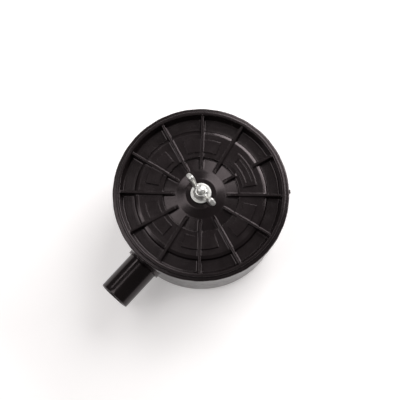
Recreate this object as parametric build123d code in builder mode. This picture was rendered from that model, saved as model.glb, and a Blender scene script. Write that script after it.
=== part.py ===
from build123d import *

import math
import os

# Intake filter silencer: a moulded drum with a side spigot, a ribbed dish cover
# held down by a wing nut on a centre rod, and a pleated filter element inside.
# Millimetres. The origin is the centre of the drum's back face, +Z runs along
# the rod towards the cover, and +X runs along the spigot.

os.makedirs("parts", exist_ok=True)

# ---------------------------------------------------------------- driving sizes
COVER_R = 75.0            # outer radius of the cover's rim
RIM_TOP = 80.0            # height of the rim's lip above the back face
WALL = 2.4                # moulded wall thickness

BODY_TOP_R = 71.6         # drum, outer radius at the open end
BODY_BACK_R = 70.9        # drum, outer radius at the back: the mould's draft
BODY_TOP = 72.8           # height of the drum's open edge
BODY_WALL = 2.6
BACK_LOW = 3.4            # recessed back plate, lower and upper face
BACK_HIGH = 6.0

SPIGOT_R = 14.0           # 28 mm hose spigot
SPIGOT_BORE_R = 11.8
SPIGOT_START = 69.2       # distance of its inner end from the rod's axis
SPIGOT_END = 111.5        # distance of its mouth from the rod's axis
SPIGOT_HEIGHT = 40.0      # height of its axis above the back face
SPIGOT_NECK_R = 13.4      # reduced neck that is bonded into the collar
COLLAR_R = 16.2           # socket on the drum that holds the neck
COLLAR_START = 60.0       # inside the drum; cut back to the wall
COLLAR_END = 74.6
SOCKET_GAP = 0.05

ROD_R = 3.0               # M6
ROD_LOW = 5.0
ROD_TOP = 94.0
THREAD_GAP = 0.05         # radial running clearance of the M6 threads
ROD_HOLE_R = 3.4          # clearance hole for M6
INSERT_R = 4.4            # brass insert, outer radius
INSERT_GAP = 0.1          # round and under the insert
INSERT_LOW = 4.2
LOCK_NUT_FLATS = 10.0     # M6 nut, across flats and height
LOCK_NUT_HEIGHT = 5.0
ROD_WASHER_R = 6.2
ROD_WASHER_THICK = 1.6
WASHER_HOLE_R = 3.2

HUB_TOP = 76.8            # flat top of the cover's hub
CONE_TOP = 74.0
CONE_FOOT = 72.4
PLATEAU = 75.2            # raised field that carries the plaques
CHANNEL = 71.4            # floor of the channel round the plateau
HUB_R = 13.2
CONE_R = 20.8
MOAT_R = 32.4
PLATEAU_R = 55.8
BEVEL_WIDTH = 2.7         # sloping edge round the plateau
BEVEL_DROP = 1.3
CHANNEL_R = 66.6
LIP_INNER_R = 68.8
LIP_OUTER_R = 71.5
FLANGE_TOP = 77.4
SKIRT_LOW = 71.0
SKIRT_INNER_R = 72.1
PLUG_R = 68.5             # outside of the wall that drops into the drum

RIB_COUNT = 12
RIB_FIRST = 11.0          # degrees from the spigot to the first rib
RIB_THICK = 2.3
RIB_HUB_R = 21.5
RIB_TOP_AT_WALL = 78.6
RIB_TOP_AT_HUB = 76.6
RIB_GAP = 15.0            # break in the rib that crosses the framed plaque
PLAQUE_COUNT = 6
PLAQUE_INNER_R = 36.6
PLAQUE_OUTER_R = 48.0
PLAQUE_ARC = 39.0         # degrees covered by one plaque
PLAQUE_RISE = 1.3
PLAQUE_FIRST = 41.0
FRAMED_PLAQUE = 161.0     # the plaque that interrupts its rib
WINDOW_INSET = 3.0        # width of the frame left round its sunken window
WINDOW_DEPTH = 1.2
OVERLAP = 0.5             # how far an added feature starts inside what it stands on
TAB_ANGLE = 134.5         # finger tab on the rim
TAB_ARC = 3.2
TAB_REACH = 1.4           # how far it stands out from the rim
TAB_HEIGHT = 3.0

PORT_INNER_R = 14.5       # air port in the back plate
PORT_OUTER_R = 28.5
PORT_COUNT = 6
PORT_SPOKE = 4.0
BOSS_R = 10.5
BOSS_TOP = 16.0
FOOT_INNER_R = 63.5
PORT_RING_LOW = 0.8       # low ring round the air port
PORT_RING_WIDTH = 2.4
BACK_RIB_LOW = 1.2        # stiffening ribs of the back
BACK_RIB_THICK = 2.0

ELEMENT_BORE_R = 30.0
CAGE_R = 31.2             # outside of the element's inner support cage
PLEAT_INNER_R = 31.6
PLEAT_OUTER_R = 46.6
PLEAT_COUNT = 48
PLEAT_DEPTH = 5.0         # radial thickness of the pleated band
GUARD_R = 47.9            # outside of the expanded metal guard
SLEEVE_R = 53.0           # outside of the foam sleeve
CAP_R = 50.4
CAP_THICK = 6.0
SEAL_INNER_R = 38.5
SEAL_OUTER_R = 47.5
SEAL_THICK = 3.2

GUARD_THICK = 0.8
SLEEVE_MARGIN = 2.0       # foam sleeve's ends, in from the element's ends

SCREEN_THICK = 0.6
LINER_INNER_R = 62.5
LINER_OUTER_R = 67.4
LINER_LOW = 8.0
LINER_TOP = 66.0
LINER_GAP = 1.0           # round the spigot's bore
GASKET_THICK = 1.8

SEAL_WASHER_R = 8.2
SEAL_WASHER_THICK = 1.2
FLAT_WASHER_R = 8.8
FLAT_WASHER_THICK = 1.6
NUT_ANGLE = 83.0          # degrees from the spigot to one wing
NUT_BASE_R = 6.5          # wing nut: hub, overall height and span of the wings
NUT_HUB_HEIGHT = 8.0
NUT_HEIGHT = 17.0
NUT_SPAN = 33.6
WING_THICK = 4.2
WING_ROOT_R = 3.2
WING_TIP_R = 3.6


def ring_sketch(inner_radius, outer_radius):
    """Add an annulus to the sketch that is open."""
    Circle(outer_radius)
    Circle(inner_radius, mode=Mode.SUBTRACT)


def sector_sketch(inner_radius, outer_radius, arc, middle, corner=0.0):
    """Add an annular sector, arc degrees wide, centred on the angle middle."""
    half = math.radians(arc) / 2
    turn = math.radians(middle)

    def point(radius, offset):
        return (radius * math.cos(turn + offset), radius * math.sin(turn + offset))

    with BuildLine() as outline:
        outer = ThreePointArc(*[point(outer_radius, offset) for offset in (-half, 0, half)])
        inner = ThreePointArc(*[point(inner_radius, offset) for offset in (half, 0, -half)])
        Line(outer @ 1, inner @ 0)
        Line(inner @ 1, outer @ 0)
    face = make_face(outline.edges())
    if corner > 0:
        fillet(face.vertices(), radius=corner)


def spigot_plane(distance):
    """Plane across the spigot's axis, at a distance from the rod."""
    return Plane(origin=(distance, 0, SPIGOT_HEIGHT), x_dir=(0, 1, 0), z_dir=(1, 0, 0))


# ------------------------------------------------------------------------ drum
draft = (BODY_TOP_R - BODY_BACK_R) / BODY_TOP

with BuildPart() as canister_body:
    with BuildSketch(Plane.XZ):
        with BuildLine():
            FilletPolyline(
                (0, 0),
                (BOSS_R, 0),
                (BOSS_R, BACK_LOW),
                (FOOT_INNER_R, BACK_LOW),
                (FOOT_INNER_R, 0),
                (BODY_BACK_R, 0),
                (BODY_TOP_R, BODY_TOP),
                (BODY_TOP_R - BODY_WALL, BODY_TOP),
                (BODY_BACK_R - BODY_WALL + draft * BACK_HIGH, BACK_HIGH),
                (BOSS_R, BACK_HIGH),
                (BOSS_R - 1.0, BOSS_TOP),
                (0, BOSS_TOP),
                radius=[0, 0.6, 0.6, 0.8, 0.8, 3.2, 0.5, 0.5, 2.0, 1.5, 0.8, 0],
                close=True,
            )
        make_face()
    revolve(axis=Axis.Z)
    # low ring round the air port, and stiffening ribs out to the foot
    port_ring_inner = PORT_OUTER_R + 0.6
    port_ring_outer = port_ring_inner + PORT_RING_WIDTH
    with BuildSketch(Plane.XY.offset(PORT_RING_LOW)):
        ring_sketch(port_ring_inner, port_ring_outer)
    extrude(amount=BACK_LOW - PORT_RING_LOW)
    back_rib_start = port_ring_outer - OVERLAP
    back_rib_end = FOOT_INNER_R + OVERLAP
    with BuildSketch(Plane.XY.offset(BACK_RIB_LOW)):
        with PolarLocations((back_rib_start + back_rib_end) / 2, RIB_COUNT, start_angle=RIB_FIRST + 15):
            Rectangle(back_rib_end - back_rib_start, BACK_RIB_THICK)
    extrude(amount=BACK_LOW - BACK_RIB_LOW)
    # air port: openings between spokes
    port_middle_r = (PORT_INNER_R + PORT_OUTER_R) / 2
    port_arc = 360 / PORT_COUNT - math.degrees(PORT_SPOKE / port_middle_r)
    with BuildSketch(Plane.XY):
        for port in range(PORT_COUNT):
            sector_sketch(PORT_INNER_R, PORT_OUTER_R, port_arc, port * 360 / PORT_COUNT, 1.5)
    extrude(amount=BACK_HIGH, mode=Mode.SUBTRACT)
    # seat for the brass insert
    with BuildSketch(Plane.XY.offset(INSERT_LOW - INSERT_GAP)):
        Circle(INSERT_R + INSERT_GAP)
    extrude(amount=BOSS_TOP, mode=Mode.SUBTRACT)
    # collar round the spigot, kept to the outside of the drum's bore
    with BuildSketch(spigot_plane(COLLAR_START)):
        Circle(COLLAR_R)
    extrude(amount=COLLAR_END - COLLAR_START)
    with BuildSketch(Plane.XZ):
        with BuildLine():
            Polyline(
                (0, BOSS_TOP + 1),
                (BODY_BACK_R - BODY_WALL + draft * (BOSS_TOP + 1), BOSS_TOP + 1),
                (BODY_TOP_R - BODY_WALL, BODY_TOP),
                (0, BODY_TOP),
                close=True,
            )
        make_face()
    revolve(axis=Axis.Z, mode=Mode.SUBTRACT)
    with BuildSketch(spigot_plane(COLLAR_START)):
        Circle(SPIGOT_NECK_R + SOCKET_GAP)
    extrude(amount=COLLAR_END - COLLAR_START, mode=Mode.SUBTRACT)
canister_body.part.label = "canister_body"
export_step(canister_body.part, "parts/canister_body.step")

# ---------------------------------------------------------------------- spigot
with BuildPart() as outlet_spigot:
    with BuildSketch(spigot_plane(SPIGOT_START)):
        ring_sketch(SPIGOT_BORE_R, SPIGOT_NECK_R)
    extrude(amount=COLLAR_END - SPIGOT_START)
    with BuildSketch(spigot_plane(COLLAR_END)):
        ring_sketch(SPIGOT_BORE_R, SPIGOT_R)
    extrude(amount=SPIGOT_END - COLLAR_END)
    mouth = outlet_spigot.faces().sort_by(Axis.X)[-1]
    fillet(mouth.edges().sort_by(SortBy.RADIUS)[-1], radius=0.9)
    mouth_edges = outlet_spigot.edges().filter_by(GeomType.CIRCLE).group_by(Axis.X)[-1]
    chamfer(mouth_edges.sort_by(SortBy.RADIUS)[0], length=0.5)
outlet_spigot.part.label = "outlet_spigot"
export_step(outlet_spigot.part, "parts/outlet_spigot.step")

# ------------------------------------------------------- rod and its fastenings
with BuildPart() as rod_insert:
    with BuildSketch(Plane.XY.offset(INSERT_LOW)):
        ring_sketch(ROD_R + THREAD_GAP, INSERT_R)
    extrude(amount=BOSS_TOP - INSERT_GAP - INSERT_LOW)
rod_insert.part.label = "rod_insert"
export_step(rod_insert.part, "parts/rod_insert.step")

with BuildPart() as tie_rod:
    with BuildSketch(Plane.XY.offset(ROD_LOW)):
        Circle(ROD_R)
    extrude(amount=ROD_TOP - ROD_LOW)
    chamfer(tie_rod.edges().filter_by(GeomType.CIRCLE), length=0.7)
tie_rod.part.label = "tie_rod"
export_step(tie_rod.part, "parts/tie_rod.step")

with BuildPart() as rod_washer:
    with BuildSketch(Plane.XY.offset(BOSS_TOP)):
        ring_sketch(WASHER_HOLE_R, ROD_WASHER_R)
    extrude(amount=ROD_WASHER_THICK)
rod_washer.part.label = "rod_washer"
export_step(rod_washer.part, "parts/rod_washer.step")

with BuildPart() as rod_lock_nut:
    with BuildSketch(Plane.XY.offset(BOSS_TOP + ROD_WASHER_THICK)):
        RegularPolygon(radius=LOCK_NUT_FLATS / 2, side_count=6, major_radius=False)
        Circle(ROD_R + THREAD_GAP, mode=Mode.SUBTRACT)
    extrude(amount=LOCK_NUT_HEIGHT)
rod_lock_nut.part.label = "rod_lock_nut"
export_step(rod_lock_nut.part, "parts/rod_lock_nut.step")

# ------------------------------------------------- screen, liner, cover gasket
with BuildPart() as intake_screen:
    with BuildSketch(Plane.XY.offset(BACK_HIGH)):
        ring_sketch(BOSS_R + 2.2, ELEMENT_BORE_R - 0.4)
    extrude(amount=SCREEN_THICK)
intake_screen.part.label = "intake_screen"
export_step(intake_screen.part, "parts/intake_screen.step")

with BuildPart() as silencing_liner:
    with BuildSketch(Plane.XY.offset(LINER_LOW)):
        ring_sketch(LINER_INNER_R, LINER_OUTER_R)
    extrude(amount=LINER_TOP - LINER_LOW)
    # notch from the top down to the spigot's bore, so the liner drops in past it
    notch_r = SPIGOT_R + LINER_GAP
    with BuildSketch(spigot_plane(LINER_INNER_R - notch_r)):
        Circle(notch_r)
        with Locations((0, (LINER_TOP - SPIGOT_HEIGHT) / 2)):
            Rectangle(2 * notch_r, LINER_TOP - SPIGOT_HEIGHT + OVERLAP)
    extrude(amount=SPIGOT_END, mode=Mode.SUBTRACT)
silencing_liner.part.label = "silencing_liner"
export_step(silencing_liner.part, "parts/silencing_liner.step")

# ----------------------------------------------------------------------- cover
GASKET_TOP = BODY_TOP + GASKET_THICK

with BuildPart() as cover:
    with BuildSketch(Plane.XZ):
        with BuildLine():
            FilletPolyline(
                (ROD_HOLE_R, HUB_TOP),
                (HUB_R, HUB_TOP),
                (CONE_R, CONE_TOP),
                (MOAT_R - 0.4, CONE_FOOT),
                (MOAT_R, PLATEAU),
                (PLATEAU_R - BEVEL_WIDTH, PLATEAU),
                (PLATEAU_R, PLATEAU - BEVEL_DROP),
                (PLATEAU_R + 0.6, CHANNEL),
                (CHANNEL_R, CHANNEL),
                (LIP_INNER_R, RIM_TOP),
                (LIP_OUTER_R, RIM_TOP),
                (LIP_OUTER_R + 0.3, FLANGE_TOP),
                (COVER_R, FLANGE_TOP),
                (COVER_R, SKIRT_LOW),
                (SKIRT_INNER_R, SKIRT_LOW),
                (SKIRT_INNER_R, GASKET_TOP),
                (PLUG_R, GASKET_TOP),
                (PLUG_R - 0.4, CHANNEL - WALL),
                (PLATEAU_R - 2.0, CHANNEL - WALL),
                (PLATEAU_R - 2.8, PLATEAU - WALL),
                (MOAT_R + 2.8, PLATEAU - WALL),
                (MOAT_R + 2.0, CONE_FOOT - WALL),
                (CONE_R, CONE_TOP - WALL),
                (HUB_R, HUB_TOP - WALL),
                (ROD_HOLE_R, HUB_TOP - WALL),
                radius=[
                    0.5, 2.2, 1.2, 0.5, 0.7, 0.8, 0.8, 0.8, 0.9, 1.1, 0.9, 0.6, 1.5,
                    0.6, 0.4, 0.4, 0.4, 0.8, 0.8, 0.6, 0.6, 0.8, 1.2, 1.2, 0.3,
                ],
                close=True,
            )
        make_face()
    revolve(axis=Axis.Z)
    # plaques on every second rib; one stands as a frame with a sunken window
    with BuildSketch(Plane.XY.offset(PLATEAU - OVERLAP)):
        for plaque in range(PLAQUE_COUNT):
            sector_sketch(PLAQUE_INNER_R, PLAQUE_OUTER_R, PLAQUE_ARC, PLAQUE_FIRST + 60 * plaque, 1.0)
    extrude(amount=PLAQUE_RISE + OVERLAP)
    window_arc = PLAQUE_ARC - math.degrees(2 * WINDOW_INSET / PLAQUE_INNER_R)
    with BuildSketch(Plane.XY.offset(PLATEAU + PLAQUE_RISE)):
        window_radii = (PLAQUE_INNER_R + WINDOW_INSET, PLAQUE_OUTER_R - WINDOW_INSET)
        sector_sketch(*window_radii, window_arc, FRAMED_PLAQUE, 0.8)
    extrude(amount=-WINDOW_DEPTH, mode=Mode.SUBTRACT)
    # ribs from the hub's foot to the rim; the framed plaque interrupts its own rib
    for rib in range(RIB_COUNT):
        rib_angle = RIB_FIRST + rib * 360 / RIB_COUNT
        rib_plane = Plane.XZ.rotated((0, 0, rib_angle))
        with BuildSketch(rib_plane):
            with BuildLine():
                Polyline(
                    (RIB_HUB_R - 1.0, CONE_TOP - 1.0),
                    (RIB_HUB_R + 3.5, RIB_TOP_AT_HUB),
                    (LIP_INNER_R - 0.2, RIB_TOP_AT_WALL),
                    (CHANNEL_R + 1.0, CHANNEL - 1.0),
                    (PLATEAU_R - 1.4, CHANNEL - 1.0),
                    (PLATEAU_R - 1.8, PLATEAU - 1.0),
                    (MOAT_R + 1.6, PLATEAU - 1.0),
                    (MOAT_R + 1.2, CONE_FOOT - 1.0),
                    close=True,
                )
            make_face()
            if abs((rib_angle - FRAMED_PLAQUE + 180) % 360 - 180) < 1:
                gap_middle = (PLAQUE_INNER_R + PLAQUE_OUTER_R) / 2
                with Locations((gap_middle, PLATEAU + RIM_TOP - CHANNEL)):
                    Rectangle(RIB_GAP, 2 * (RIM_TOP - CHANNEL), mode=Mode.SUBTRACT)
        extrude(amount=RIB_THICK / 2, both=True)
    # finger tab on the rim
    with BuildSketch(Plane.XY.offset(SKIRT_LOW + OVERLAP)):
        sector_sketch(SKIRT_INNER_R + 1.0, COVER_R + TAB_REACH, TAB_ARC, TAB_ANGLE, 0.5)
    extrude(amount=TAB_HEIGHT)
cover.part.label = "cover"
export_step(cover.part, "parts/cover.step")

with BuildPart() as cover_gasket:
    with BuildSketch(Plane.XY.offset(BODY_TOP)):
        ring_sketch(BODY_TOP_R - BODY_WALL + 0.2, BODY_TOP_R - 0.1)
    extrude(amount=GASKET_TOP - BODY_TOP)
cover_gasket.part.label = "cover_gasket"
export_step(cover_gasket.part, "parts/cover_gasket.step")

# -------------------------------------------------------- washers and wing nut
NUT_LOW = HUB_TOP + SEAL_WASHER_THICK + FLAT_WASHER_THICK

with BuildPart() as sealing_washer:
    with BuildSketch(Plane.XY.offset(HUB_TOP)):
        ring_sketch(WASHER_HOLE_R, SEAL_WASHER_R)
    extrude(amount=SEAL_WASHER_THICK)
sealing_washer.part.label = "sealing_washer"
export_step(sealing_washer.part, "parts/sealing_washer.step")

with BuildPart() as flat_washer:
    with BuildSketch(Plane.XY.offset(HUB_TOP + SEAL_WASHER_THICK)):
        ring_sketch(WASHER_HOLE_R, FLAT_WASHER_R)
    extrude(amount=FLAT_WASHER_THICK)
    outer_edges = flat_washer.edges().filter_by(GeomType.CIRCLE).sort_by(SortBy.RADIUS)[-2:]
    fillet(outer_edges, radius=0.3)
flat_washer.part.label = "flat_washer"
export_step(flat_washer.part, "parts/flat_washer.step")

with BuildPart() as wing_nut:
    with BuildSketch(Plane.XZ):
        with BuildLine():
            FilletPolyline(
                (0, NUT_LOW),
                (NUT_BASE_R, NUT_LOW),
                (NUT_BASE_R, NUT_LOW + 2.4),
                (NUT_BASE_R - 1.5, NUT_LOW + NUT_HUB_HEIGHT),
                (0, NUT_LOW + NUT_HUB_HEIGHT),
                radius=[0, 0.4, 0.8, 0.8, 0],
                close=True,
            )
        make_face()
    revolve(axis=Axis.Z)
    for side in (0, 180):
        with BuildSketch(Plane.XZ.rotated((0, 0, NUT_ANGLE + side))):
            with Locations((NUT_BASE_R - 2.2, NUT_LOW + NUT_HUB_HEIGHT / 2)):
                Circle(WING_ROOT_R)
            with Locations((NUT_SPAN / 2 - WING_TIP_R, NUT_LOW + NUT_HEIGHT - WING_TIP_R)):
                Circle(WING_TIP_R)
            make_hull()
        extrude(amount=WING_THICK / 2, both=True)
    with BuildSketch(Plane.XY.offset(NUT_LOW)):
        Circle(ROD_R + THREAD_GAP)
    extrude(amount=NUT_HEIGHT, mode=Mode.SUBTRACT)
wing_nut.part.label = "wing_nut"
export_step(wing_nut.part, "parts/wing_nut.step")

# -------------------------------------------------------------- filter element
ELEMENT_LOW = BACK_HIGH + SEAL_THICK
ELEMENT_HIGH = PLATEAU - WALL - SEAL_THICK
PAPER_LOW = ELEMENT_LOW + CAP_THICK
PAPER_HIGH = ELEMENT_HIGH - CAP_THICK


def wall_windows(radius, columns, rows, width, height, stagger=0.0):
    """Cut rows of upright openings through a thin tube of the given radius."""
    pitch = (PAPER_HIGH - PAPER_LOW) / rows
    for row in range(rows):
        middle = PAPER_LOW + (row + 0.5) * pitch
        with Locations((0, 0, middle)):
            with PolarLocations(radius, columns, start_angle=(row % 2) * stagger):
                Box(6, width, height, mode=Mode.SUBTRACT)


with BuildPart() as inner_cage:
    with BuildSketch(Plane.XY.offset(PAPER_LOW)):
        ring_sketch(ELEMENT_BORE_R, CAGE_R)
    extrude(amount=PAPER_HIGH - PAPER_LOW)
    wall_windows(CAGE_R, 16, 4, 8.4, 9.4)
inner_cage.part.label = "inner_cage"
export_step(inner_cage.part, "parts/inner_cage.step")

with BuildPart() as pleated_paper:
    with BuildSketch(Plane.XY.offset(PAPER_LOW)):
        half_pleat = math.pi / PLEAT_COUNT
        for outer_r, inner_r, pleat_mode in (
            (PLEAT_OUTER_R, PLEAT_INNER_R + PLEAT_DEPTH, Mode.ADD),
            (PLEAT_OUTER_R - PLEAT_DEPTH, PLEAT_INNER_R, Mode.SUBTRACT),
        ):
            corners = [
                ((inner_r if step % 2 else outer_r) * math.cos(step * half_pleat),
                 (inner_r if step % 2 else outer_r) * math.sin(step * half_pleat))
                for step in range(2 * PLEAT_COUNT)
            ]
            with BuildLine():
                Polyline(corners, close=True)
            make_face(mode=pleat_mode)
    extrude(amount=PAPER_HIGH - PAPER_LOW)
pleated_paper.part.label = "pleated_paper"
export_step(pleated_paper.part, "parts/pleated_paper.step")

with BuildPart() as guard_mesh:
    with BuildSketch(Plane.XY.offset(PAPER_LOW)):
        ring_sketch(GUARD_R - GUARD_THICK, GUARD_R)
    extrude(amount=PAPER_HIGH - PAPER_LOW)
    wall_windows(GUARD_R, 24, 6, 9.0, 6.0, 7.5)
guard_mesh.part.label = "guard_mesh"
export_step(guard_mesh.part, "parts/guard_mesh.step")

with BuildPart() as foam_sleeve:
    with BuildSketch(Plane.XY.offset(ELEMENT_LOW + SLEEVE_MARGIN)):
        ring_sketch(CAP_R + 0.1, SLEEVE_R)
    extrude(amount=ELEMENT_HIGH - ELEMENT_LOW - 2 * SLEEVE_MARGIN)
foam_sleeve.part.label = "foam_sleeve"
export_step(foam_sleeve.part, "parts/foam_sleeve.step")

for cap_name, cap_low, seal_name, seal_low in (
    ("element_top_cap", PAPER_HIGH, "element_top_seal", ELEMENT_HIGH),
    ("element_bottom_cap", ELEMENT_LOW, "element_bottom_seal", BACK_HIGH),
):
    with BuildPart() as end_cap:
        with BuildSketch(Plane.XY.offset(cap_low)):
            ring_sketch(ELEMENT_BORE_R, CAP_R)
        extrude(amount=CAP_THICK)
        fillet(end_cap.edges().filter_by(GeomType.CIRCLE), radius=0.6)
    end_cap.part.label = cap_name
    export_step(end_cap.part, f"parts/{cap_name}.step")

    with BuildPart() as end_seal:
        with BuildSketch(Plane.XY.offset(seal_low)):
            ring_sketch(SEAL_INNER_R, SEAL_OUTER_R)
        extrude(amount=SEAL_THICK)
    end_seal.part.label = seal_name
    export_step(end_seal.part, f"parts/{seal_name}.step")
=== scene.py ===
import math

import bpy
from mathutils import Matrix, Vector, noise


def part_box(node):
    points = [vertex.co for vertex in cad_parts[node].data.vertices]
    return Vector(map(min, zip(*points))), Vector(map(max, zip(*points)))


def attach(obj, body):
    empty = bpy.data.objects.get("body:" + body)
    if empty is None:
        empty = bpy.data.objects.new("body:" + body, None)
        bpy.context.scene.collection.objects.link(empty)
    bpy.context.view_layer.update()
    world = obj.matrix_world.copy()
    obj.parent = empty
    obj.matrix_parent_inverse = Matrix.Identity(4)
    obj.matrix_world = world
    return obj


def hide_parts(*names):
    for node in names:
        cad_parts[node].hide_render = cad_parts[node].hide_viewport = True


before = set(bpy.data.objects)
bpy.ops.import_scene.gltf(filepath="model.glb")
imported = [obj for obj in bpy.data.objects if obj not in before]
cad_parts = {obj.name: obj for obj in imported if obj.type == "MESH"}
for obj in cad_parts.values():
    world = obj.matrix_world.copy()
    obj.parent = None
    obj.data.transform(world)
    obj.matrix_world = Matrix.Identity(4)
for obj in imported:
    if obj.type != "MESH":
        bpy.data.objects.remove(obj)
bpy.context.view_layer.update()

# Lengths are millimetres in the shared frame, turned into metres where a mesh, a
# material or the camera is made. The lights and the floor are in metres.
MM = 0.001


def span(node):
    """Lowest and highest corner of a CAD node, in millimetres."""
    low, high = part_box(node)
    return [c / MM for c in low], [c / MM for c in high]


# ------------------------------------------------- sizes shared with the frame
cover_low, cover_high = span("cover")
body_high = span("canister_body")[1]
spigot_low, spigot_high = span("outlet_spigot")
rod_low, rod_high = span("tie_rod")
nut_low, nut_high = span("wing_nut")
washer_low, washer_high = span("flat_washer")
seal_low, seal_high = span("sealing_washer")

COVER_R = cover_high[0]
RIM_TOP = cover_high[2]
SKIRT_LOW = cover_low[2]
WALL = 2.4
HUB_TOP = seal_low[2]
CONE_TOP = HUB_TOP - 2.8
CONE_FOOT = HUB_TOP - 4.4
PLATEAU = HUB_TOP - 1.6
CHANNEL = HUB_TOP - 5.4
HUB_R = 13.2
CONE_R = 20.8
MOAT_R = 32.4
PLATEAU_R = 55.8
BEVEL_WIDTH, BEVEL_DROP = 2.7, 1.3
CHANNEL_R = 66.6
LIP_INNER_R = 68.8
LIP_OUTER_R = 71.5
FLANGE_TOP = RIM_TOP - 2.6
SKIRT_INNER_R = 72.1
PLUG_R = 68.5
ROD_HOLE_R = 3.4
GASKET_TOP = span("cover_gasket")[1][2]

RIB_COUNT = 12
RIB_PITCH = 360 / RIB_COUNT
RIB_FIRST = 11.0
RIB_TOP_AT_WALL = RIM_TOP - 1.4
RIB_TOP_AT_HUB = RIM_TOP - 3.4
PLAQUE_PITCH = 2 * RIB_PITCH
PLAQUE_INNER_R = 36.6
PLAQUE_OUTER_R = 48.0
PLAQUE_HALF_ARC = 19.5
PLAQUE_RISE = 1.3
FRAMED_PLAQUE = 161.0
TAB_ANGLE = 134.5
NUT_ANGLE = 83.0
THREAD_PITCH = 1.0

# direction of the view's right-hand edge, in the shared frame
VIEW_RIGHT = math.radians(132.3)


def ease(value, low, high):
    """0 below low, 1 above high, a smooth step between."""
    t = min(max((value - low) / (high - low), 0.0), 1.0)
    return t * t * (3 - 2 * t)


def mix(low, high, share):
    return low + (high - low) * share


def wobble(x, y, z, scale, seed=0.0):
    """Smooth noise from -1 to 1 at a point in millimetres."""
    return noise.noise(Vector((x / scale + seed, y / scale - seed, z / scale)))


# ---------------------------------------------------------------- mesh helpers
# A shape is a pair: a list of points in millimetres and a list of faces.
CORNER_SHARE = 0.49       # most of a side that one rounded corner may take


def rounded_outline(points, radii, arc_step=18.0):
    """A closed outline with its corners rounded; returns (x, y, corner number)."""
    outline = []
    for i, corner in enumerate(points):
        corner = Vector(corner)
        if radii[i] <= 0:
            outline.append((corner.x, corner.y, i))
            continue
        to_last = Vector(points[i - 1]) - corner
        to_next = Vector(points[(i + 1) % len(points)]) - corner
        angle = to_last.angle(to_next)
        longest = CORNER_SHARE * min(to_last.length, to_next.length)
        reach = min(radii[i] / math.tan(angle / 2), longest)
        radius = reach * math.tan(angle / 2)
        to_last.normalize()
        to_next.normalize()
        centre = corner + (to_last + to_next).normalized() * (radius / math.sin(angle / 2))
        start = corner + to_last * reach - centre
        end = corner + to_next * reach - centre
        turn = math.pi - angle
        steps = max(2, math.ceil(math.degrees(turn) / arc_step))
        side = 1 if start.x * end.y - start.y * end.x > 0 else -1
        for step in range(steps + 1):
            a = side * turn * step / steps
            x = start.x * math.cos(a) - start.y * math.sin(a)
            y = start.x * math.sin(a) + start.y * math.cos(a)
            outline.append((centre.x + x, centre.y + y, i))
    return outline


def densify(outline, spacing):
    """Adds points along long runs; spacing(x, y) is the largest step allowed there."""
    dense = []
    for i, (x, y, corner) in enumerate(outline):
        dense.append((x, y, corner))
        next_x, next_y, _ = outline[(i + 1) % len(outline)]
        length = math.hypot(next_x - x, next_y - y)
        done = spacing(x, y)
        while done < length * 0.98:
            here_x, here_y = mix(x, next_x, done / length), mix(y, next_y, done / length)
            dense.append((here_x, here_y, corner))
            done += spacing(here_x, here_y)
    return dense


def grid_faces(rows, columns, close_rows=True):
    """Quads between closed rings of points, which are stored ring by ring."""
    faces = []
    for i in range(rows if close_rows else rows - 1):
        this_ring, next_ring = i * columns, (i + 1) % rows * columns
        for j in range(columns):
            k = (j + 1) % columns
            faces.append([this_ring + j, this_ring + k, next_ring + k, next_ring + j])
    return faces


def tube_faces(rows, around):
    """Quads of a run of rings, with a flat face over each end."""
    last = (rows - 1) * around
    ends = [list(range(around))[::-1], list(range(last, last + around))]
    return grid_faces(rows, around, close_rows=False) + ends


def outward(vertices, faces):
    """The closed shape, with every face turned over if it was inside out."""
    volume = 0.0
    for face in faces:
        a = Vector(vertices[face[0]])
        for i in range(1, len(face) - 1):
            volume += a.dot(Vector(vertices[face[i]]).cross(Vector(vertices[face[i + 1]])))
    return vertices, faces if volume > 0 else [face[::-1] for face in faces]


def joined(*shapes):
    """Several shapes as one."""
    vertices, faces = [], []
    for more_vertices, more_faces in shapes:
        start = len(vertices)
        faces += [[start + n for n in face] for face in more_faces]
        vertices += more_vertices
    return vertices, faces


def polar(radius, angle, height):
    return radius * math.cos(angle), radius * math.sin(angle), height


def turned(vertices, degrees):
    """Points turned about the rod's axis."""
    cos, sin = math.cos(math.radians(degrees)), math.sin(math.radians(degrees))
    return [(x * cos - y * sin, x * sin + y * cos, z) for x, y, z in vertices]


def lathe(profile, steps, uneven=None):
    """Turns a closed (radius, height) outline about Z; uneven may move each point."""
    vertices = []
    for radius, height, *_ in profile:
        for step in range(steps):
            point = polar(radius, 2 * math.pi * step / steps, height)
            vertices.append(uneven(*point) if uneven else point)
    return outward(vertices, grid_faces(len(profile), steps))


def ring_profile(inner, outer, low, high, edge, spacing):
    """Outline of a ring with rounded edges."""
    corners = [(inner, low), (outer, low), (outer, high), (inner, high)]
    return densify(rounded_outline(corners, [edge] * 4, arc_step=22.5), lambda x, y: spacing)


def add_piece(name, shape, material, body, replaced, sharp=None):
    """Makes a mesh piece from a shape, lets it ride on a body and replace CAD nodes."""
    vertices, faces = shape
    mesh = bpy.data.meshes.new(name)
    mesh.from_pydata([[c * MM for c in v] for v in vertices], [], faces)
    mesh.validate()
    mesh.update()
    mesh.shade_smooth()
    if sharp is not None:
        mesh.set_sharp_from_angle(angle=math.radians(sharp))
    piece = bpy.data.objects.new(name, mesh)
    bpy.context.scene.collection.objects.link(piece)
    mesh.materials.append(material)
    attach(piece, body)
    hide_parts(*replaced)
    return piece


def bake(piece):
    """Turns a piece's modifiers into its own mesh."""
    graph = bpy.context.evaluated_depsgraph_get()
    material = piece.data.materials[0]
    mesh = bpy.data.meshes.new_from_object(piece.evaluated_get(graph))
    piece.modifiers.clear()
    piece.data = mesh
    mesh.shade_smooth()
    mesh.materials.clear()
    mesh.materials.append(material)


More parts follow.
